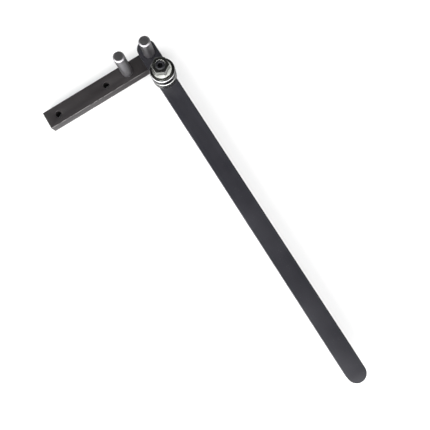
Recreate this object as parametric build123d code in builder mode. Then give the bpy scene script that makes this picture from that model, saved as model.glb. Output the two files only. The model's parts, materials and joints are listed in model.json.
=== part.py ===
"""Lever arm on a bolt-down base bar, with two round pins and a ball-bearing roller.

Origin: midway between the two mounting holes, on the underside of the base bar.
+X runs along the base bar towards the pivot, +Z is up along the pins. Millimetres.
"""
from build123d import *
import math
import os

os.makedirs("parts", exist_ok=True)

# --- flat bars ---------------------------------------------------------------
bar_width = 20.0        # both bars are cut from 20 mm flat
base_thickness = 10.0
arm_thickness = 10.0
edge_break = 0.5        # broken edges of the bars

# --- base bar ----------------------------------------------------------------
end_margin = 14.5       # cut end to first mounting hole
hole_spacing = 60.0
mount_hole_d = 7.0      # clears an M6 screw
hole_to_pivot = 57.0    # inner mounting hole to pivot axis
pivot_end = 9.0         # pivot axis to the covered end of the base bar

# --- pins and the screws that hold them --------------------------------------
pin_d = 12.0
pin_height = 35.0       # above the base bar
pin_chamfer = 1.2
pin_foot_chamfer = 0.7
spigot_d = 8.0
spigot_depth = 4.0      # into the base bar
stop_distance = 30.0    # stop pin axis to pivot axis
screw_d = 5.0
screw_head_d = 10.0
screw_thread = 12.0     # thread engaged in the pin
screw_end_gap = 1.0       # left free past the end of a pin screw
screw_socket = 3.0      # hex across flats
screw_socket_depth = 2.0
screw_clearance = 0.25  # radial, around the shank in the base bar
head_recess = 0.2       # screw heads sit this far inside the underside

# --- swing arm ---------------------------------------------------------------
arm_reach = 384.0       # pivot axis to the centre of the rounded far end
arm_tail = 6.0          # pivot axis to the centre of the rounded near end
arm_angle = 91.0        # from the base bar to the arm, at rest
swing_gap = 0.1         # play above and below the arm at the pivot
journal_clearance = 0.05    # radial

# --- roller stack on the arm -------------------------------------------------
roller_distance = 32.0  # pivot axis to roller axis
stud_d = 10.0
stud_chamfer = 1.0
stud_proud = 0.3        # stud end above the nut
stud_socket = 5.0       # hex across flats
stud_socket_depth = 5.0
washer_d = 25.0
washer_thickness = 1.6
spacer_d = 25.6
spacer_height = 8.0     # lifts the bearing off the arm
shim_d = 13.5
shim_thickness = 0.3
collar_d = 14.0
collar_thickness = 1.0

bearing_d = 26.0
bearing_width = 8.0
bearing_corner = 0.5
ball_d = 4.762
ball_count = 7
shoulder_gap = 1.65     # ball circle to the shoulder of either ring, radial
race_clearance = 0.04   # between a ball and its groove
cage_thickness = 0.9
cage_height = 5.4
pocket_clearance = 0.1
shield_thickness = 0.3
shield_recess = 0.4     # shield face below the ring face
shield_lip = 0.4        # shield edge held in the outer ring
shield_gap = 0.3        # shield edge to the inner ring

nut_flats = 16.0
nut_height = 10.0
flange_d = 20.0
flange_rim = 1.4        # straight rim of the flange
flange_slope = 55.0     # degrees, from flat
nut_chamfer_angle = 30.0

# --- positions that follow ---------------------------------------------------
half_width = bar_width / 2
hole_x = hole_spacing / 2
pivot_x = hole_x + hole_to_pivot
stop_x = pivot_x - stop_distance
base_left = -hole_x - end_margin
base_right = pivot_x + pivot_end

base_top = base_thickness
arm_bottom = base_top + swing_gap
arm_top = arm_bottom + arm_thickness
pin_top = base_top + pin_height

arm_heading = 180.0 + arm_angle
heading = math.radians(arm_heading)
roller_x = pivot_x + roller_distance * math.cos(heading)
roller_y = roller_distance * math.sin(heading)

spacer_bottom = arm_top + washer_thickness
shim_bottom = spacer_bottom + spacer_height
bearing_bottom = shim_bottom + shim_thickness
bearing_top = bearing_bottom + bearing_width
bearing_middle = (bearing_bottom + bearing_top) / 2
nut_bottom = bearing_top + collar_thickness
nut_top = nut_bottom + nut_height
stud_top = nut_top + stud_proud

arm_plane = Plane(origin=(pivot_x, 0, 0), x_dir=(math.cos(heading), math.sin(heading), 0), z_dir=(0, 0, 1))
roller_plane = Plane(origin=(roller_x, roller_y, 0), x_dir=arm_plane.x_dir, z_dir=(0, 0, 1))
pivot_plane = Plane.XY.move(Location((pivot_x, 0, 0)))
stop_plane = Plane.XY.move(Location((stop_x, 0, 0)))


def section_plane(plane):
    """The upright plane through a round piece's axis: x is its radius, y its height."""
    return Plane(origin=plane.origin, x_dir=plane.x_dir, z_dir=-plane.y_dir)


def write(builder, name):
    """Label one finished piece and write it as its own node."""
    builder.part.label = name
    export_step(builder.part, f"parts/{name}.step")


# --- base bar ----------------------------------------------------------------
head_depth = (screw_head_d - screw_d) / 2 + head_recess

with BuildPart() as base_bar:
    with BuildSketch(Plane.XY) as base_outline:
        with BuildLine():
            Polyline(
                (base_left, -half_width), (base_right, -half_width),
                (base_right, half_width), (base_left, half_width), close=True,
            )
        make_face()
    extrude(amount=base_thickness)
    chamfer(base_bar.edges(), length=edge_break)
    with Locations((-hole_x, 0, base_top), (hole_x, 0, base_top)):
        Hole(radius=mount_hole_d / 2)
    with Locations((stop_x, 0, base_top), (pivot_x, 0, base_top)):
        CounterBoreHole(screw_d / 2 + screw_clearance, spigot_d / 2, spigot_depth)
    # seats for the two screw heads, opening at the underside
    with BuildSketch(Plane.XY):
        with Locations((stop_x, 0), (pivot_x, 0)):
            Circle(screw_head_d / 2 + head_recess)
    extrude(amount=head_depth, taper=45, mode=Mode.SUBTRACT)

write(base_bar, "base_bar")


# --- pins and their screws ---------------------------------------------------
def make_pin(plane, name, shoulder):
    """A round pin with a turned-down spigot; the full diameter starts at the shoulder."""
    radius = pin_d / 2
    tip = base_top - spigot_depth
    with BuildPart() as pin:
        with BuildSketch(section_plane(plane)):
            with BuildLine():
                Polyline(
                    (0, tip), (spigot_d / 2, tip), (spigot_d / 2, shoulder),
                    (radius - pin_foot_chamfer, shoulder), (radius, shoulder + pin_foot_chamfer),
                    (radius, pin_top - pin_chamfer), (radius - pin_chamfer, pin_top), (0, pin_top), close=True,
                )
            make_face()
        revolve(axis=Axis(plane.origin, (0, 0, 1)))
        with BuildSketch(plane.offset(tip)):
            Circle(screw_d / 2)
        extrude(amount=screw_thread, mode=Mode.SUBTRACT)
    write(pin, name)


def make_pin_screw(plane, name):
    """A countersunk socket screw, up through the base bar into its pin."""
    head_top = head_recess + (screw_head_d - screw_d) / 2
    shank_end = base_top - spigot_depth + screw_thread - screw_end_gap
    with BuildPart() as screw:
        with BuildSketch(section_plane(plane)):
            with BuildLine():
                Polyline(
                    (0, head_recess), (screw_head_d / 2, head_recess), (screw_d / 2, head_top),
                    (screw_d / 2, shank_end - edge_break), (screw_d / 2 - edge_break, shank_end),
                    (0, shank_end), close=True,
                )
            make_face()
        revolve(axis=Axis(plane.origin, (0, 0, 1)))
        with BuildSketch(plane.offset(head_recess)):
            RegularPolygon(screw_socket / 2, 6, major_radius=False)
        extrude(amount=screw_socket_depth, mode=Mode.SUBTRACT)
    write(screw, name)


make_pin(stop_plane, "stop_pin", base_top)
make_pin(pivot_plane, "pivot_pin", arm_top + swing_gap)
make_pin_screw(stop_plane, "stop_pin_screw")
make_pin_screw(pivot_plane, "pivot_pin_screw")

# --- swing arm ---------------------------------------------------------------
with BuildPart() as swing_arm:
    with BuildSketch(arm_plane.offset(arm_bottom)):
        with Locations(((arm_reach - arm_tail) / 2, 0)):
            SlotCenterToCenter(arm_reach + arm_tail, bar_width)
    extrude(amount=arm_thickness)
    chamfer(swing_arm.faces().filter_by(Axis.Z).edges(), length=edge_break)
    with BuildSketch(arm_plane.offset(arm_bottom)):
        Circle(spigot_d / 2 + journal_clearance)
        with Locations((roller_distance, 0)):
            Circle(stud_d / 2)
    extrude(amount=arm_thickness, mode=Mode.SUBTRACT)

write(swing_arm, "swing_arm")

# --- roller stud, rings and nut -----------------------------------------------
with BuildPart() as roller_stud:
    with BuildSketch(roller_plane.offset(arm_bottom)):
        Circle(stud_d / 2)
    extrude(amount=stud_top - arm_bottom)
    chamfer(roller_stud.edges().group_by(Axis.Z)[-1], length=stud_chamfer)
    chamfer(roller_stud.edges().group_by(Axis.Z)[0], length=edge_break)
    with BuildSketch(roller_plane.offset(stud_top)):
        RegularPolygon(stud_socket / 2, 6, major_radius=False)
    extrude(amount=-stud_socket_depth, mode=Mode.SUBTRACT)

write(roller_stud, "roller_stud")


def make_washer(name, bottom, diameter, thickness):
    """A flat ring around the stud, with broken outer edges."""
    with BuildPart() as washer:
        with BuildSketch(roller_plane.offset(bottom)):
            Circle(diameter / 2)
            Circle(stud_d / 2, mode=Mode.SUBTRACT)
        extrude(amount=thickness)
        outer_edges = washer.edges().filter_by(GeomType.CIRCLE).sort_by(SortBy.RADIUS)[-2:]
        chamfer(outer_edges, length=min(edge_break, thickness / 4))
    write(washer, name)


make_washer("washer", arm_top, washer_d, washer_thickness)
make_washer("spacer_ring", spacer_bottom, spacer_d, spacer_height)
make_washer("shim_ring", shim_bottom, shim_d, shim_thickness)
make_washer("nut_collar", bearing_top, collar_d, collar_thickness)

hex_corner = nut_flats / math.sqrt(3)
corner_drop = (hex_corner - nut_flats / 2) * math.tan(math.radians(nut_chamfer_angle))
flange_slope_top = flange_rim + (flange_d / 2 - nut_flats / 2) * math.tan(math.radians(flange_slope))

with BuildPart() as flange_nut:
    # hexagon, cut to a cone at its top corners
    with BuildSketch(roller_plane.offset(nut_bottom)):
        RegularPolygon(nut_flats / 2, 6, major_radius=False)
    extrude(amount=nut_height)
    with BuildSketch(section_plane(roller_plane)):
        with BuildLine():
            Polyline(
                (0, nut_bottom), (hex_corner, nut_bottom), (hex_corner, nut_top - corner_drop),
                (nut_flats / 2, nut_top), (0, nut_top), close=True,
            )
        make_face()
    revolve(axis=Axis(roller_plane.origin, (0, 0, 1)), mode=Mode.INTERSECT)
    # sloped flange
    with BuildSketch(section_plane(roller_plane)):
        with BuildLine():
            Polyline(
                (0, nut_bottom), (flange_d / 2, nut_bottom), (flange_d / 2, nut_bottom + flange_rim),
                (nut_flats / 2, nut_bottom + flange_slope_top), (0, nut_bottom + flange_slope_top), close=True,
            )
        make_face()
    revolve(axis=Axis(roller_plane.origin, (0, 0, 1)))
    with BuildSketch(roller_plane.offset(nut_bottom)):
        Circle(stud_d / 2)
    extrude(amount=nut_height, mode=Mode.SUBTRACT)
    thread_mouth = flange_nut.edges().filter_by(GeomType.CIRCLE).filter_by(lambda e: e.radius < stud_d / 2 + 0.01)
    chamfer(thread_mouth.sort_by(Axis.Z)[-1], length=edge_break)

write(flange_nut, "flange_nut")

# --- ball bearing that is the roller -----------------------------------------
pitch_radius = (bearing_d + stud_d) / 4
inner_shoulder = pitch_radius - shoulder_gap
groove_radius = ball_d / 2 + race_clearance
outer_bore = pitch_radius + shoulder_gap
shield_radius = outer_bore + shield_lip


# the ring-shaped space that the balls run in, cut from both rings
with BuildPart() as ball_track:
    with BuildSketch(section_plane(roller_plane)):
        with Locations((pitch_radius, bearing_middle)):
            Circle(groove_radius)
    revolve(axis=Axis(roller_plane.origin, (0, 0, 1)))

with BuildPart() as bearing_inner_ring:
    with BuildSketch(roller_plane.offset(bearing_bottom)):
        Circle(inner_shoulder)
        Circle(stud_d / 2, mode=Mode.SUBTRACT)
    extrude(amount=bearing_width)
    add(ball_track.part, mode=Mode.SUBTRACT)

write(bearing_inner_ring, "bearing_inner_ring")

with BuildPart() as bearing_outer_ring:
    with BuildSketch(roller_plane.offset(bearing_bottom)):
        Circle(bearing_d / 2)
        Circle(outer_bore, mode=Mode.SUBTRACT)
    extrude(amount=bearing_width)
    rims = bearing_outer_ring.edges().filter_by(GeomType.CIRCLE).sort_by(SortBy.RADIUS)[-2:]
    fillet(rims, radius=bearing_corner)
    add(ball_track.part, mode=Mode.SUBTRACT)
    # a step at each face takes a shield
    shield_step = shield_recess + shield_thickness
    for step_start, step_depth in ((bearing_bottom, shield_step), (bearing_top, -shield_step)):
        with BuildSketch(roller_plane.offset(step_start)):
            Circle(shield_radius)
        extrude(amount=step_depth, mode=Mode.SUBTRACT)

write(bearing_outer_ring, "bearing_outer_ring")

for side, shield_bottom in (
    ("lower", bearing_bottom + shield_recess),
    ("upper", bearing_top - shield_recess - shield_thickness),
):
    with BuildPart() as bearing_shield:
        with BuildSketch(roller_plane.offset(shield_bottom)):
            Circle(shield_radius)
            Circle(inner_shoulder + shield_gap, mode=Mode.SUBTRACT)
        extrude(amount=shield_thickness)
    write(bearing_shield, f"bearing_shield_{side}")

ball_angles = [360 / ball_count * i for i in range(ball_count)]

with BuildPart() as ball_cage:
    with BuildSketch(roller_plane.offset(bearing_middle - cage_height / 2)):
        Circle(pitch_radius + cage_thickness / 2)
        Circle(pitch_radius - cage_thickness / 2, mode=Mode.SUBTRACT)
    extrude(amount=cage_height)
    with Locations(roller_plane.offset(bearing_middle)):
        with PolarLocations(pitch_radius, ball_count):
            Cylinder(ball_d / 2 + pocket_clearance, 4 * cage_thickness, rotation=(0, 90, 0), mode=Mode.SUBTRACT)

write(ball_cage, "ball_cage")

for number, ball_angle in enumerate(ball_angles, start=1):
    with BuildPart() as ball:
        with Locations(roller_plane.offset(bearing_middle)):
            with Locations(Location((0, 0, 0), (0, 0, ball_angle)) * Location((pitch_radius, 0, 0))):
                Sphere(ball_d / 2)
    write(ball, f"ball_{number}")
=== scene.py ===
import json
import math

import bmesh
import bpy
from mathutils import Matrix, Vector

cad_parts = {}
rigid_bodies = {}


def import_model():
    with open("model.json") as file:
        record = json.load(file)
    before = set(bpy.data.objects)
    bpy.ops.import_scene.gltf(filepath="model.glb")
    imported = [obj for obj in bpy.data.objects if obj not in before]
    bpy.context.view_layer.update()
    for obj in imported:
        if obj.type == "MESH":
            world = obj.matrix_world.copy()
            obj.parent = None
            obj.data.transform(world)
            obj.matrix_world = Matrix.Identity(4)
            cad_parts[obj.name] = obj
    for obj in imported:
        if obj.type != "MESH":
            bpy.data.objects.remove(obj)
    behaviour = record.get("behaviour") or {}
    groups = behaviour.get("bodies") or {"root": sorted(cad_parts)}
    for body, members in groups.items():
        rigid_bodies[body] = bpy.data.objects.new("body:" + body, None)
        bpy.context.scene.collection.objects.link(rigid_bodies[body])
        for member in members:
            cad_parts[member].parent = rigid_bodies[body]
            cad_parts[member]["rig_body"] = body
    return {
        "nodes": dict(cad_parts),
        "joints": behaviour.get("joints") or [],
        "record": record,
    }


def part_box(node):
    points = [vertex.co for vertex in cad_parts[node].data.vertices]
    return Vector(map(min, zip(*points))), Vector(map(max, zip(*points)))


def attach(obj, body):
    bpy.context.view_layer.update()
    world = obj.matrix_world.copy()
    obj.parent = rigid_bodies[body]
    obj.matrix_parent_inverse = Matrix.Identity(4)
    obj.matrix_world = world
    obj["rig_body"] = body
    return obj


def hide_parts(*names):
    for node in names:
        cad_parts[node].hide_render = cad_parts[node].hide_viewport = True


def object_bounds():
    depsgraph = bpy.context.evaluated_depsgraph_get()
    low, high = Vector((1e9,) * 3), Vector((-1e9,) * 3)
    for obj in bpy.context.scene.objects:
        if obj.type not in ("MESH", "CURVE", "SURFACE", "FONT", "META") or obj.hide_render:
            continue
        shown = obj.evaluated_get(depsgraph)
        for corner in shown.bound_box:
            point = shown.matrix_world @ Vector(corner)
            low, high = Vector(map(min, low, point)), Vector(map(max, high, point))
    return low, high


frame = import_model()
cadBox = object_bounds()
nodes = frame["nodes"]
mm = 0.001

# camera, held over the plate and turned so that the arm runs to the lower right
cameraView = {
    "location": (0.05393, -0.22267, 0.42171),
    "turn": (5.061, 2.574, -31.329),  # degrees
    "lens": 33.47,
    "nearClip": 0.01,
}


def placeCamera(view):
    lensData = bpy.data.cameras.new("viewCamera")
    lensData.lens = view["lens"]
    lensData.clip_start = view["nearClip"]
    camera = bpy.data.objects.new("viewCamera", lensData)
    camera.location = view["location"]
    camera.rotation_euler = [math.radians(a) for a in view["turn"]]
    bpy.context.scene.collection.objects.link(camera)
    bpy.context.scene.camera = camera


placeCamera(cameraView)
bpy.context.scene.view_settings.view_transform = "Standard"
print("camera placed")

# studio: a pale floor, a band of light low down that is strongest in front, and dark overhead.
# Reflections see the light behind darker, and see the floor with painted shade close to the roller and
# behind the bar.
studio = {
    "floorSize": 6.0,
    "floorDrop": 0.0005,
    "floorTone": 0.95,
    "floorRoughness": 0.8,
    "paintedShadeTone": (0.28, 0.85),  # painted shade on the floor as metal reflects it, close to the roller and far from it
    "paintedShadeReach": (0.036, 0.075),
    "paintedBackShadeTone": (1.0, 0.22),  # painted shade on the floor as metal reflects it, in front of the bar and behind it
    "paintedBackShadeReach": (-0.004, 0.012),
    "frontDirection": (-0.62, -0.78, 0.0),
    "bandHeight": (0.74, 0.46),  # where the band fades in, as the height of a direction
    "bandStrength": (0.0, 6.2),
    "bandSpread": (-0.75, 0.55),  # from behind to the front
    "bandShare": (0.42, 1.0),
    "overheadSpread": (-0.42, 0.35),
    "overhead": (0.10, 0.55),
    "mirroredSpread": (-0.25, 0.45),  # how far round the sides reflections see the light
    "mirroredShare": (0.12, 1.0),
    "keyPlace": (-0.75, -1.05, 0.60),
    "keySize": (1.2, 0.5),
    "keyWatts": 12,
}


# small node helpers, and the place of a round part's axis
def addMath(tree, operation, first, second):
    node = tree.nodes.new("ShaderNodeMath")
    node.operation = operation
    for socket, value in zip(node.inputs, (first, second)):
        if isinstance(value, (int, float)):
            socket.default_value = value
        else:
            tree.links.new(value, socket)
    return node.outputs[0]


def addRange(tree, value, low, high, outLow=0.0, outHigh=1.0):
    node = tree.nodes.new("ShaderNodeMapRange")
    node.inputs["From Min"].default_value = low
    node.inputs["From Max"].default_value = high
    node.inputs["To Min"].default_value = outLow
    node.inputs["To Max"].default_value = outHigh
    tree.links.new(value, node.inputs["Value"])
    return node.outputs["Result"]


def addMix(tree, amount, first, second):
    mix = tree.nodes.new("ShaderNodeMix")
    mix.data_type = "RGBA"
    slots = {"A": mix.inputs[6], "B": mix.inputs[7]}
    for key, value in (("A", first), ("B", second)):
        if isinstance(value, tuple):
            slots[key].default_value = value + (1,)
        else:
            tree.links.new(value, slots[key])
    tree.links.new(amount, mix.inputs[0])
    return mix.outputs[2]


def middle(node):
    low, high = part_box(node)
    return Vector(((low.x + high.x) / 2, (low.y + high.y) / 2, 0))


def makeFloor(values):
    mesh = bpy.data.meshes.new("floor")
    bm = bmesh.new()
    bmesh.ops.create_grid(bm, x_segments=1, y_segments=1, size=values["floorSize"] / 2)
    bmesh.ops.translate(bm, verts=bm.verts, vec=(0, 0, cadBox[0].z - values["floorDrop"]))
    bm.to_mesh(mesh)
    bm.free()
    floor = bpy.data.objects.new("floor", mesh)
    bpy.context.scene.collection.objects.link(floor)
    paint = bpy.data.materials.new("floorPaint")
    paint.use_nodes = True
    shader = paint.node_tree.nodes["Principled BSDF"]
    shader.inputs["Roughness"].default_value = values["floorRoughness"]
    tree = paint.node_tree
    coords = tree.nodes.new("ShaderNodeTexCoord").outputs["Object"]
    away = tree.nodes.new("ShaderNodeVectorMath")
    away.operation = "DISTANCE"
    away.inputs[1].default_value = middle("roller_stud")
    tree.links.new(coords, away.inputs[0])
    split = tree.nodes.new("ShaderNodeSeparateXYZ")
    tree.links.new(coords, split.inputs[0])
    # painted shade on the floor that only reflections see: darker close to the roller and behind the bar
    paintedShadeNear = addRange(tree, away.outputs["Value"], *values["paintedShadeReach"], *values["paintedShadeTone"])
    paintedShadeBehind = addRange(tree, split.outputs["Y"], *values["paintedBackShadeReach"], *values["paintedBackShadeTone"])
    rays = tree.nodes.new("ShaderNodeLightPath")
    plainTone = (values["floorTone"],) * 3
    tone = addMix(tree, rays.outputs["Is Glossy Ray"], plainTone, addMath(tree, "MULTIPLY", paintedShadeNear, paintedShadeBehind))
    tree.links.new(tone, shader.inputs["Base Color"])
    mesh.materials.append(paint)


def makeSky(values):
    world = bpy.data.worlds.new("studioSky")
    bpy.context.scene.world = world
    world.use_nodes = True
    tree = world.node_tree
    tree.nodes.clear()
    coords = tree.nodes.new("ShaderNodeTexCoord")
    split = tree.nodes.new("ShaderNodeSeparateXYZ")
    facing = tree.nodes.new("ShaderNodeVectorMath")
    facing.operation = "DOT_PRODUCT"
    facing.inputs[1].default_value = values["frontDirection"]
    tree.links.new(coords.outputs["Generated"], split.inputs[0])
    tree.links.new(coords.outputs["Generated"], facing.inputs[0])
    fades = []
    for source, limits, ends in (
        (split.outputs["Z"], values["bandHeight"], values["bandStrength"]),
        (facing.outputs["Value"], values["bandSpread"], values["bandShare"]),
        (facing.outputs["Value"], values["overheadSpread"], values["overhead"]),
        (facing.outputs["Value"], values["mirroredSpread"], values["mirroredShare"]),
    ):
        fade = tree.nodes.new("ShaderNodeMapRange")
        fade.interpolation_type = "SMOOTHSTEP"
        fade.inputs["From Min"].default_value, fade.inputs["From Max"].default_value = limits
        fade.inputs["To Min"].default_value, fade.inputs["To Max"].default_value = ends
        tree.links.new(source, fade.inputs["Value"])
        fades.append(fade.outputs["Result"])
    level = tree.nodes.new("ShaderNodeMath")
    level.operation = "MULTIPLY_ADD"
    sky = tree.nodes.new("ShaderNodeBackground")
    out = tree.nodes.new("ShaderNodeOutputWorld")
    for fade, socket in zip(fades, level.inputs):
        tree.links.new(fade, socket)
    rays = tree.nodes.new("ShaderNodeLightPath").outputs["Is Glossy Ray"]
    dimmed = addMath(tree, "MULTIPLY", level.outputs[0], fades[3])
    plain = addMath(tree, "MULTIPLY", level.outputs[0], addMath(tree, "SUBTRACT", 1.0, rays))
    mirrored = addMath(tree, "MULTIPLY", dimmed, rays)
    tree.links.new(addMath(tree, "ADD", plain, mirrored), sky.inputs["Strength"])
    tree.links.new(sky.outputs["Background"], out.inputs["Surface"])


def addSoftbox(name, place, size, watts):
    lampData = bpy.data.lights.new(name, "AREA")
    lampData.shape = "RECTANGLE"
    lampData.size, lampData.size_y = size
    lampData.energy = watts
    lamp = bpy.data.objects.new(name, lampData)
    lamp.location = place
    aim = (cadBox[0] + cadBox[1]) / 2 - Vector(place)
    lamp.rotation_euler = aim.to_track_quat("-Z", "Y").to_euler()
    bpy.context.scene.collection.objects.link(lamp)


makeFloor(studio)
makeSky(studio)
addSoftbox("keySoftbox", studio["keyPlace"], studio["keySize"], studio["keyWatts"])
print("studio lit")


# effects that several finishes share, as node groups
effects = {
    "speckScale": 900.0,
    "speckCut": (0.70, 0.78),
    "toneCut": (0.3, 0.7),
    "rubReach": 0.75,
    "rubSoftness": 0.10,
    "scratchTurns": (0.35, 1.9),
    "scratchStretch": 16,
    "scratchScale": 55.0,
    "scratchCut": 0.86,
    "scratchReach": 0.12,
    "scratchSoftness": 0.03,
}


def startGroup(name, inputs, outputs):
    group = bpy.data.node_groups.new(name, "ShaderNodeTree")
    for label, default in inputs:
        socket = group.interface.new_socket(label, in_out="INPUT", socket_type="NodeSocketFloat")
        socket.default_value = default
    for label in outputs:
        group.interface.new_socket(label, in_out="OUTPUT", socket_type="NodeSocketFloat")
    return group, group.nodes.new("NodeGroupInput"), group.nodes.new("NodeGroupOutput")


def addNoise(tree, vector, scale, detail=3.0, roughness=0.55):
    noise = tree.nodes.new("ShaderNodeTexNoise")
    noise.inputs["Detail"].default_value = detail
    noise.inputs["Roughness"].default_value = roughness
    tree.links.new(vector, noise.inputs["Vector"])
    if isinstance(scale, (int, float)):
        noise.inputs["Scale"].default_value = scale
    else:
        tree.links.new(scale, noise.inputs["Scale"])
    return noise.outputs["Fac"]


def makeGrainGroup():
    # fine texture of the surface, and its slow change of tone
    scales = [("Fine Scale", 1500.0), ("Broad Scale", 30.0)]
    group, given, result = startGroup("surfaceGrain", scales, ["Height", "Tone", "Speck"])
    coords = group.nodes.new("ShaderNodeTexCoord").outputs["Object"]
    fine = addNoise(group, coords, given.outputs["Fine Scale"], 2.0)
    broad = addNoise(group, coords, given.outputs["Broad Scale"], 4.0)
    speck = addNoise(group, coords, effects["speckScale"], 1.0)
    group.links.new(fine, result.inputs["Height"])
    group.links.new(addRange(group, broad, *effects["toneCut"]), result.inputs["Tone"])
    group.links.new(addRange(group, speck, *effects["speckCut"]), result.inputs["Speck"])
    return group


def makeWearGroup():
    # rubbed edges: the edge faces carry edgeWear, and noise breaks them up
    group, given, result = startGroup("edgeRub", [("Amount", 0.5), ("Patch Scale", 140.0)], ["Mask"])
    coords = group.nodes.new("ShaderNodeTexCoord").outputs["Object"]
    edge = group.nodes.new("ShaderNodeAttribute")
    edge.attribute_name = "edgeWear"
    patches = addNoise(group, coords, given.outputs["Patch Scale"], 5.0, 0.65)
    level = addMath(group, "SUBTRACT", 1.0, given.outputs["Amount"])
    over = addMath(group, "SUBTRACT", patches, addMath(group, "MULTIPLY", level, effects["rubReach"]))
    sharp = addRange(group, over, 0.0, effects["rubSoftness"])
    group.links.new(addMath(group, "MULTIPLY", sharp, edge.outputs["Fac"]), result.inputs["Mask"])
    return group


def makeScratchGroup():
    # thin handling scratches, long one way
    group, given, result = startGroup("handlingScratch", [("Density", 0.5)], ["Mask"])
    coords = group.nodes.new("ShaderNodeTexCoord").outputs["Object"]
    masks = []
    for turn in effects["scratchTurns"]:
        mapping = group.nodes.new("ShaderNodeMapping")
        mapping.inputs["Rotation"].default_value = (0, 0, turn)
        mapping.inputs["Scale"].default_value = (1, effects["scratchStretch"], 1)
        group.links.new(coords, mapping.inputs["Vector"])
        masks.append(addNoise(group, mapping.outputs["Vector"], effects["scratchScale"], 3.0, 0.6))
    lines = addMath(group, "MAXIMUM", masks[0], masks[1])
    lowered = addMath(group, "MULTIPLY", given.outputs["Density"], effects["scratchReach"])
    cut = addMath(group, "SUBTRACT", effects["scratchCut"], lowered)
    over = addMath(group, "SUBTRACT", lines, cut)
    group.links.new(addRange(group, over, 0.0, effects["scratchSoftness"]), result.inputs["Mask"])
    return group


def makeLatheGroup():
    # tool rings left by turning, read along the profile
    group, given, result = startGroup("latheRings", [("Ring Scale", 3000.0)], ["Height", "Tone"])
    uv = group.nodes.new("ShaderNodeUVMap")
    uv.uv_map = "turned"
    split = group.nodes.new("ShaderNodeSeparateXYZ")
    group.links.new(uv.outputs["UV"], split.inputs[0])
    rings = group.nodes.new("ShaderNodeTexNoise")
    rings.noise_dimensions = "1D"
    rings.inputs["Detail"].default_value = 3.0
    group.links.new(split.outputs["Y"], rings.inputs["W"])
    group.links.new(given.outputs["Ring Scale"], rings.inputs["Scale"])
    group.links.new(rings.outputs["Fac"], result.inputs["Height"])
    group.links.new(addRange(group, rings.outputs["Fac"], *effects["toneCut"]), result.inputs["Tone"])
    return group


grainGroup = makeGrainGroup()
wearGroup = makeWearGroup()
scratchGroup = makeScratchGroup()
latheGroup = makeLatheGroup()


def placeGroup(tree, group, **values):
    node = tree.nodes.new("ShaderNodeGroup")
    node.node_tree = group
    for label, value in values.items():
        node.inputs[label.replace("_", " ")].default_value = value
    return node


def addBump(tree, height, distance, strength=1.0, under=None):
    bump = tree.nodes.new("ShaderNodeBump")
    bump.inputs["Distance"].default_value = distance
    bump.inputs["Strength"].default_value = strength
    tree.links.new(height, bump.inputs["Height"])
    if under:
        tree.links.new(under, bump.inputs["Normal"])
    return bump.outputs["Normal"]


# how strongly each effect shows in the finishes
wearing = {
    "dust": 0.5,
    "lines": 0.55,
    "bareMetal": 0.8,
    "bareShine": 0.12,
    "scratchBump": 0.6,
    "grainBump": 0.5,
    "turnedPatch": 260.0,
}


def makeCoated(name, look):
    # dark coating over steel, rubbed to bare metal on its edges
    material = bpy.data.materials.new(name)
    material.use_nodes = True
    tree = material.node_tree
    shader = tree.nodes["Principled BSDF"]
    grain = placeGroup(tree, grainGroup, Fine_Scale=look["fineScale"], Broad_Scale=look["broadScale"])
    rub = placeGroup(tree, wearGroup, Amount=look["rub"], Patch_Scale=look["patchScale"])
    scratch = placeGroup(tree, scratchGroup, Density=look["scratch"])
    tone = addMix(tree, grain.outputs["Tone"], look["dark"], look["light"])
    specks = addMath(tree, "MULTIPLY", grain.outputs["Speck"], wearing["dust"])
    dusted = addMix(tree, specks, tone, look["dust"])
    lines = addMath(tree, "MULTIPLY", scratch.outputs["Mask"], wearing["lines"])
    bare = addMath(tree, "MAXIMUM", rub.outputs["Mask"], lines)
    tree.links.new(addMix(tree, bare, dusted, look["steel"]), shader.inputs["Base Color"])
    tree.links.new(addMath(tree, "MULTIPLY", bare, wearing["bareMetal"]), shader.inputs["Metallic"])
    rough = addRange(tree, grain.outputs["Tone"], 0.0, 1.0, look["roughLow"], look["roughHigh"])
    shine = addMath(tree, "MULTIPLY", bare, wearing["bareShine"])
    tree.links.new(addMath(tree, "SUBTRACT", rough, shine), shader.inputs["Roughness"])
    grainNormal = addBump(tree, grain.outputs["Height"], look["bump"])
    cutNormal = addBump(tree, scratch.outputs["Mask"], -look["bump"], wearing["scratchBump"], grainNormal)
    tree.links.new(cutNormal, shader.inputs["Normal"])
    shader.inputs["Specular IOR Level"].default_value = look["gloss"]
    return material


def makeTurned(name, look):
    # bare or plated metal with tool rings
    material = bpy.data.materials.new(name)
    material.use_nodes = True
    tree = material.node_tree
    shader = tree.nodes["Principled BSDF"]
    grain = placeGroup(tree, grainGroup, Fine_Scale=look["fineScale"], Broad_Scale=look["broadScale"])
    rings = placeGroup(tree, latheGroup, Ring_Scale=look["ringScale"])
    rub = placeGroup(tree, wearGroup, Amount=look["rub"], Patch_Scale=wearing["turnedPatch"])
    both = addMath(tree, "ADD", grain.outputs["Tone"], rings.outputs["Tone"])
    blend = addMath(tree, "MULTIPLY", both, 0.5)
    tone = addMix(tree, blend, look["dark"], look["light"])
    tree.links.new(addMix(tree, rub.outputs["Mask"], tone, look["edge"]), shader.inputs["Base Color"])
    shader.inputs["Metallic"].default_value = look["metal"]
    rough = addRange(tree, blend, 0.0, 1.0, look["roughLow"], look["roughHigh"])
    tree.links.new(rough, shader.inputs["Roughness"])
    ringNormal = addBump(tree, rings.outputs["Height"], look["ringDepth"])
    grainNormal = addBump(tree, grain.outputs["Height"], look["bump"], wearing["grainBump"], ringNormal)
    tree.links.new(grainNormal, shader.inputs["Normal"])
    return material


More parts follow.
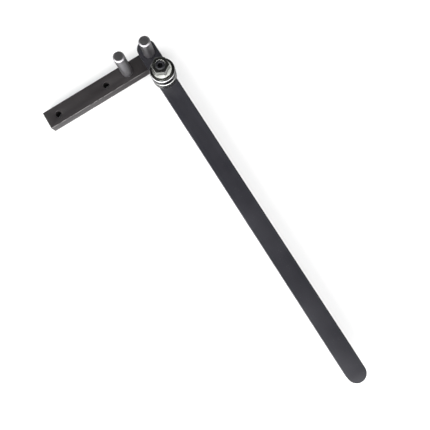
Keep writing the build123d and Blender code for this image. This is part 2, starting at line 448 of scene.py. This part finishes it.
coatedArm = {
    "dark": (0.0142, 0.0139, 0.0186), "light": (0.0208, 0.0204, 0.0262), "dust": (0.10, 0.095, 0.09),
    "steel": (0.16, 0.155, 0.155), "rub": 0.45, "patchScale": 160.0, "scratch": 0.2,
    "fineScale": 1400.0, "broadScale": 26.0, "bump": 0.00004,
    "roughLow": 0.38, "roughHigh": 0.50, "gloss": 0.5,
}
coatedBase = {**coatedArm, "dark": (0.0175, 0.0155, 0.0165), "light": (0.0265, 0.0235, 0.0242)}
blackOxide = {
    "dark": (0.006, 0.006, 0.008), "light": (0.011, 0.011, 0.014), "dust": (0.03, 0.03, 0.03),
    "steel": (0.14, 0.14, 0.15), "rub": 0.35, "patchScale": 400.0, "scratch": 0.1,
    "fineScale": 2600.0, "broadScale": 90.0, "bump": 0.00002,
    "roughLow": 0.30, "roughHigh": 0.42, "gloss": 0.35,
}
turnedPin = {
    "dark": (0.20, 0.195, 0.205), "light": (0.31, 0.303, 0.318), "edge": (0.46, 0.45, 0.46), "metal": 0.92,
    "rub": 0.8, "fineScale": 2200.0, "broadScale": 110.0, "ringScale": 3800.0, "ringDepth": 0.000010,
    "bump": 0.00001, "roughLow": 0.30, "roughHigh": 0.42,
}
zincPlate = {
    "dark": (0.31, 0.32, 0.295), "light": (0.45, 0.46, 0.435), "edge": (0.56, 0.56, 0.54), "metal": 1.0,
    "rub": 0.7, "fineScale": 1900.0, "broadScale": 150.0, "ringScale": 1900.0, "ringDepth": 0.000006,
    "bump": 0.000008, "roughLow": 0.16, "roughHigh": 0.30,
}
groundRing = {
    "dark": (0.20, 0.20, 0.205), "light": (0.30, 0.30, 0.305), "edge": (0.62, 0.62, 0.62), "metal": 1.0,
    "rub": 0.6, "fineScale": 2600.0, "broadScale": 120.0, "ringScale": 5200.0, "ringDepth": 0.000004,
    "bump": 0.000003, "roughLow": 0.12, "roughHigh": 0.22,
}
pressedCage = {**zincPlate, "dark": (0.34, 0.32, 0.28), "light": (0.5, 0.47, 0.42)}
turnedSpacer = {
    **zincPlate, "dark": (0.36, 0.36, 0.35), "light": (0.50, 0.50, 0.49), "edge": (0.60, 0.60, 0.59),
}
finishes = {
    "bar_steel": makeCoated("coatedArm", coatedArm),
    "black_steel": makeCoated("blackOxide", blackOxide),
    "pin_steel": makeTurned("turnedPin", turnedPin),
    "zinc_steel": makeTurned("zincPlate", zincPlate),
    "bearing_steel": makeTurned("groundRing", groundRing),
    "cage_steel": makeTurned("pressedCage", pressedCage),
}
baseCoating = makeCoated("coatedBase", coatedBase)
spacerSteel = makeTurned("turnedSpacer", turnedSpacer)
for part in frame["record"]["subparts"]:
    slots = nodes[part["node"]].data.materials
    slots.clear()
    slots.append(finishes[part["material_slot"]])
print("finishes made")


# helpers for the pieces
mergeReach = 0.002 * mm
rimReach = 0.05 * mm
smoothUnder = 32  # degrees, edges flatter than this are shaded smooth


def sharpEdges(bm, degrees=28):
    limit = math.radians(degrees)
    return [e for e in bm.edges if len(e.link_faces) == 2 and e.calc_face_angle() > limit]


def roundEdges(bm, edges, width, segments=3):
    # rounds the edges and marks the new faces as the ones that rub bare
    wear = bm.loops.layers.float.get("edgeWear") or bm.loops.layers.float.new("edgeWear")
    made = bmesh.ops.bevel(
        bm, geom=edges, offset=width, offset_type="OFFSET", segments=segments,
        profile=0.5, affect="EDGES", material=-1, clamp_overlap=True,
    )
    for face in made["faces"]:
        for loop in face.loops:
            loop[wear] = 1.0


def finishPiece(bm, name, node, centre=None, finish=None):
    # mesh, smooth shading, ring coordinates for turned pieces, then the finish of the node's slot, the
    # node's body, and the node it stands for hidden
    bmesh.ops.recalc_face_normals(bm, faces=bm.faces)
    if centre:
        uv = bm.loops.layers.uv.new("turned")
        for face in bm.faces:
            for loop in face.loops:
                away = loop.vert.co - centre
                radius = math.hypot(away.x, away.y)
                loop[uv].uv = (math.atan2(away.y, away.x) / math.tau, away.z - radius)
    mesh = bpy.data.meshes.new(name)
    bm.to_mesh(mesh)
    bm.free()
    mesh.shade_smooth()
    mesh.set_sharp_from_angle(angle=math.radians(smoothUnder))
    slot = next(p["material_slot"] for p in frame["record"]["subparts"] if p["node"] == node)
    mesh.materials.append(finish or finishes[slot])
    piece = bpy.data.objects.new(name, mesh)
    bpy.context.scene.collection.objects.link(piece)
    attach(piece, nodes[node]["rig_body"])
    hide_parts(node)


def turnPiece(name, node, profile, rounding, steps=96, segments=3, finish=None):
    # a round piece, its profile a list of (radius, height) spun once about its axis
    bm = bmesh.new()
    axis = middle(node)
    line = [bm.verts.new((axis.x + radius, axis.y, height)) for radius, height in profile]
    for first, second in zip(line, line[1:]):
        bm.edges.new((first, second))
    if profile[0][0] > 0:
        bm.edges.new((line[-1], line[0]))
    bmesh.ops.spin(
        bm, geom=bm.verts[:] + bm.edges[:], cent=axis, axis=(0, 0, 1), dvec=(0, 0, 0),
        angle=math.tau, steps=steps, use_merge=True,
    )
    bmesh.ops.remove_doubles(bm, verts=bm.verts, dist=mergeReach)
    bmesh.ops.recalc_face_normals(bm, faces=bm.faces)
    roundEdges(bm, sharpEdges(bm), rounding, segments)
    finishPiece(bm, name, node, axis, finish)


# flat bars: an outline and its holes filled, pulled up to thickness, every edge softened but the seat rims
# that the pins cover
plate = {
    "edgeRound": 0.4 * mm,
    "holeRound": 0.3 * mm,
    "seatRadius": 5.2 * mm,
    "screwHole": 2.75 * mm,
    "journalHole": 4.05 * mm,
    "studHole": 5.0 * mm,
    "endSteps": 96,
}


def addCircle(bm, place, radius, steps=64):
    made = bmesh.ops.create_circle(bm, cap_ends=False, segments=steps, radius=radius)
    bmesh.ops.translate(bm, verts=made["verts"], vec=place)


def pullUp(bm, height):
    bmesh.ops.triangle_fill(bm, edges=bm.edges[:], use_beauty=True)
    lifted = bmesh.ops.extrude_face_region(bm, geom=bm.faces[:])
    top = [g for g in lifted["geom"] if isinstance(g, bmesh.types.BMVert)]
    bmesh.ops.translate(bm, verts=top, vec=(0, 0, height))
    bmesh.ops.recalc_face_normals(bm, faces=bm.faces)


def rimEdges(bm, place, radius, height):
    # edges of one hole's rim
    def onRim(v):
        away = v.co - Vector((place[0], place[1], height))
        return abs(away.z) < rimReach and abs(math.hypot(away.x, away.y) - radius) < rimReach
    return [e for e in bm.edges if onRim(e.verts[0]) and onRim(e.verts[1])]


holePattern = next(m for m in frame["record"]["mounts"] if m["kind"] == "bolt_pattern")
holeRadius = holePattern["dims"]["hole_r_mm"] * mm
holeX = holePattern["dims"]["spacing_x_mm"] * mm / 2
stopAxis = middle("stop_pin")
pivotAxis = middle("pivot_pin")
rollerAxis = middle("roller_stud")


def makeBaseBar():
    low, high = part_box("base_bar")
    bm = bmesh.new()
    made = bmesh.ops.create_grid(bm, x_segments=1, y_segments=1, size=0.5)
    bmesh.ops.delete(bm, geom=bm.faces[:], context="FACES_ONLY")
    bmesh.ops.scale(bm, verts=made["verts"], vec=(high.x - low.x, high.y - low.y, 1))
    bmesh.ops.translate(bm, verts=made["verts"], vec=((low.x + high.x) / 2, 0, low.z))
    drilled = [((x, 0, low.z), holeRadius) for x in (-holeX, holeX)]
    seats = [((axis.x, axis.y, low.z), plate["screwHole"]) for axis in (stopAxis, pivotAxis)]
    for place, radius in drilled + seats:
        addCircle(bm, place, radius)
    pullUp(bm, high.z - low.z)
    rims = {e for place, radius in drilled for z in (low.z, high.z) for e in rimEdges(bm, place, radius, z)}
    covered = {e for place, radius in seats for e in rimEdges(bm, place, radius, high.z)}
    cones = {e for place, radius in seats for e in rimEdges(bm, place, radius, low.z)}
    outer = [e for e in sharpEdges(bm) if e not in rims | covered | cones]
    roundEdges(bm, outer, plate["edgeRound"])
    rims = [e for place, radius in drilled for z in (low.z, high.z) for e in rimEdges(bm, place, radius, z)]
    roundEdges(bm, rims, plate["holeRound"], 2)
    cones = [e for place, radius in seats for e in rimEdges(bm, place, radius, low.z)]
    roundEdges(bm, cones, plate["seatRadius"] - plate["screwHole"], 1)
    finishPiece(bm, "baseBar", "base_bar", finish=baseCoating)


def makeSwingArm():
    low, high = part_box("swing_arm")
    swing = next(j for j in frame["joints"] if j["name"] == "arm_swing")
    pivot = Vector(swing["pos_m"])
    reachLine = rollerAxis - pivotAxis
    heading = math.atan2(reachLine.y, reachLine.x)
    baseLow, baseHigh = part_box("base_bar")
    radius = (baseHigh.y - baseLow.y) / 2
    reach = (-low.y - radius) / -math.sin(heading)  # pivot to the centre of the far end
    tail = high.y - radius
    bm = bmesh.new()
    steps = plate["endSteps"]
    outline = bmesh.ops.create_circle(bm, cap_ends=False, segments=steps, radius=radius)["verts"]
    halfStep = Matrix.Rotation(math.pi / steps, 3, "Z")
    bmesh.ops.rotate(bm, verts=outline, cent=(0, 0, 0), matrix=halfStep)
    bmesh.ops.translate(bm, verts=[v for v in outline if v.co.x > 0], vec=(reach, 0, 0))
    bmesh.ops.translate(bm, verts=[v for v in outline if v.co.x < 0], vec=(-tail, 0, 0))
    addCircle(bm, (0, 0, 0), plate["journalHole"])
    addCircle(bm, (reachLine.length, 0, 0), plate["studHole"])
    pullUp(bm, high.z - low.z)
    roundEdges(bm, sharpEdges(bm), plate["edgeRound"])
    bmesh.ops.rotate(bm, verts=bm.verts, cent=(0, 0, 0), matrix=Matrix.Rotation(heading, 3, "Z"))
    bmesh.ops.translate(bm, verts=bm.verts, vec=(pivot.x, pivot.y, low.z))
    finishPiece(bm, "swingArm", "swing_arm")


makeBaseBar()
makeSwingArm()
print("bars made")

# pins, turned from round bar
pinShape = {
    "spigot": 4.0 * mm,
    "swingGap": 0.1 * mm,  # between the arm and the pivot pin's shoulder
    "tip": 1.2 * mm,
    "foot": 0.7 * mm,
    "rounding": 0.14 * mm,
}


def makePin(name, node, shoulder):
    low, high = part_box(node)
    r, tip, foot = (high.x - low.x) / 2, pinShape["tip"], pinShape["foot"]
    profile = [
        (0, low.z), (pinShape["spigot"], low.z), (pinShape["spigot"], shoulder), (r - foot, shoulder),
        (r, shoulder + foot), (r, high.z - tip), (r - tip, high.z), (0, high.z),
    ]
    turnPiece(name, node, profile, pinShape["rounding"])


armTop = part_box("swing_arm")[1].z
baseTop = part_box("base_bar")[1].z
makePin("stopPin", "stop_pin", baseTop)
makePin("pivotPin", "pivot_pin", armTop + pinShape["swingGap"])
print("pins made")

# roller stack: washer, spacer, shim, collar and the bearing's outer ring
ringShape = {
    "bore": 5.0 * mm,
    "rounding": 0.15 * mm,
    "washerRounding": 0.3 * mm,
    "thinRounding": 0.1 * mm,
    "chamfer": 0.6 * mm,
    "raceLand": 10.65 * mm,
    "ballCircle": 9.0 * mm,
    "grooveRadius": 2.42 * mm,
    "grooveDegrees": (45, 30, 15, 0, -15, -30, -45),
    "lip": 0.4 * mm,
    "shieldStep": 0.7 * mm,
}


def outerCorners(radius, bottom, top, chamfer):
    if not chamfer:
        return [(radius, bottom), (radius, top)]
    return [
        (radius - chamfer, bottom), (radius, bottom + chamfer),
        (radius, top - chamfer), (radius - chamfer, top),
    ]


def makeFlatRing(name, node, rounding, chamfer=0.0, finish=None):
    low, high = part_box(node)
    radius = (high.x - low.x) / 2
    corners = outerCorners(radius, low.z, high.z, chamfer)
    profile = [(ringShape["bore"], low.z), *corners, (ringShape["bore"], high.z)]
    turnPiece(name, node, profile, rounding, segments=2, finish=finish)


makeFlatRing("flatWasher", "washer", ringShape["washerRounding"], finish=spacerSteel)
makeFlatRing("spacerRing", "spacer_ring", ringShape["rounding"], ringShape["chamfer"], spacerSteel)
makeFlatRing("shimRing", "shim_ring", ringShape["thinRounding"])
makeFlatRing("nutCollar", "nut_collar", ringShape["thinRounding"])


def makeOuterRing():
    low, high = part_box("bearing_outer_ring")
    radius = (high.x - low.x) / 2
    inner = ringShape["raceLand"]
    step = ringShape["shieldStep"]
    lip = inner + ringShape["lip"]
    waist = (low.z + high.z) / 2
    circle, hollow = ringShape["ballCircle"], ringShape["grooveRadius"]
    angles = [math.radians(d) for d in ringShape["grooveDegrees"]]
    groove = [(circle + hollow * math.cos(a), waist + hollow * math.sin(a)) for a in angles]
    profile = [
        (lip, low.z), *outerCorners(radius, low.z, high.z, ringShape["chamfer"]), (lip, high.z),
        (lip, high.z - step), (inner, high.z - step),
        *groove, (inner, low.z + step), (lip, low.z + step),
    ]
    turnPiece("bearingOuterRing", "bearing_outer_ring", profile, ringShape["rounding"])


makeOuterRing()
print("roller made")

# nut and stud: rings of one circle grown upwards, some of them pulled out to a hexagon
nutShape = {
    "flats": 8.0 * mm,  # half the width across flats
    "rim": 1.4 * mm,
    "slope": 55.0,  # degrees, of the flange
    "crownSlope": 14.0,
    "crown": 0.96,  # top face as a share of the flats
    "mouth": 5.2 * mm,
    "mouthDepth": 0.2 * mm,
    "rounding": 0.16 * mm,
    "sharpFrom": 20,
    "steps": 72,
}
studShape = {
    "radius": 5.0 * mm,
    "tip": 1.0 * mm,
    "foot": 0.5 * mm,
    "socket": 2.5 * mm,  # half the width across flats
    "flare": 1.22,  # round lead-in, as a share of the socket
    "flareDepth": 0.35 * mm,
    "depth": 5.0 * mm,
    "drill": 0.8 * mm,
    "pole": 0.01 * mm,
    "rounding": 0.12 * mm,
    "sharpFrom": 25,
}


def hexRadius(angle, flats):
    return flats / math.cos((angle % (math.pi / 3)) - math.pi / 6)


def edgesOf(bm, ring):
    around = set(ring)
    return [e for e in bm.edges if e.verts[0] in around and e.verts[1] in around]


def growRings(rings, steps):
    # each ring is (radius, height), each a number or a rule that takes the angle
    bm = bmesh.new()
    made = bmesh.ops.create_circle(bm, cap_ends=False, segments=steps, radius=1)["verts"]
    loop = made
    first = None
    for radius, height in rings:
        if first is not None:
            grown = bmesh.ops.extrude_edge_only(bm, edges=edgesOf(bm, loop))["geom"]
            loop = [g for g in grown if isinstance(g, bmesh.types.BMVert)]
        for v in loop:
            angle = math.atan2(v.co.y, v.co.x) % math.tau
            away = radius(angle) if callable(radius) else radius
            up = height(angle, away) if callable(height) else height
            v.co = (away * math.cos(angle), away * math.sin(angle), up)
        first = first or loop
    return bm, first, loop


def closeRings(bm, first, last):
    bmesh.ops.bridge_loops(bm, edges=edgesOf(bm, first) + edgesOf(bm, last))


def makeNut():
    low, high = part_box("flange_nut")
    flats = nutShape["flats"]
    topRadius = flats * nutShape["crown"]
    flange = (high.x - low.x) / 2
    slope = math.tan(math.radians(nutShape["slope"]))
    crownSlope = math.tan(math.radians(nutShape["crownSlope"]))

    def hexagon(angle):
        return hexRadius(angle, flats)

    def foot(angle, away):
        return low.z + nutShape["rim"] + (flange - away) * slope

    def shoulder(angle, away):
        return high.z - (away - topRadius) * crownSlope

    rings = [
        (studShape["radius"], low.z), (flange, low.z), (flange, low.z + nutShape["rim"]), (hexagon, foot),
        (hexagon, shoulder), (topRadius, high.z), (nutShape["mouth"], high.z),
        (studShape["radius"], high.z - nutShape["mouthDepth"]),
    ]
    bm, first, last = growRings(rings, nutShape["steps"])
    closeRings(bm, first, last)
    bmesh.ops.recalc_face_normals(bm, faces=bm.faces)
    roundEdges(bm, sharpEdges(bm, nutShape["sharpFrom"]), nutShape["rounding"], 2)
    bmesh.ops.remove_doubles(bm, verts=bm.verts, dist=mergeReach)
    placeOnRoller(bm, "flangeNut", "flange_nut")


def makeStud():
    low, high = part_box("roller_stud")
    r, tip, foot, pole = (studShape[key] for key in ("radius", "tip", "foot", "pole"))
    socketEnd = high.z - studShape["depth"]

    def socket(angle):
        return hexRadius(angle, studShape["socket"])

    rings = [
        (pole, low.z), (r - foot, low.z), (r, low.z + foot), (r, high.z - tip), (r - tip, high.z),
        (studShape["socket"] * studShape["flare"], high.z), (socket, high.z - studShape["flareDepth"]),
        (socket, socketEnd), (pole, socketEnd - studShape["drill"]),
    ]
    bm, first, last = growRings(rings, nutShape["steps"])
    for ring in (first, last):
        centre = sum((v.co for v in ring), Vector()) / len(ring)
        bmesh.ops.pointmerge(bm, verts=ring, merge_co=centre)
    bmesh.ops.recalc_face_normals(bm, faces=bm.faces)
    roundEdges(bm, sharpEdges(bm, studShape["sharpFrom"]), studShape["rounding"], 2)
    placeOnRoller(bm, "rollerStud", "roller_stud")


def placeOnRoller(bm, name, node):
    reachLine = rollerAxis - pivotAxis
    turn = Matrix.Rotation(math.atan2(reachLine.y, reachLine.x), 3, "Z")
    bmesh.ops.rotate(bm, verts=bm.verts, cent=(0, 0, 0), matrix=turn)
    bmesh.ops.translate(bm, verts=bm.verts, vec=rollerAxis)
    finishPiece(bm, name, node, rollerAxis)


makeNut()
makeStud()
print("nut and stud made")
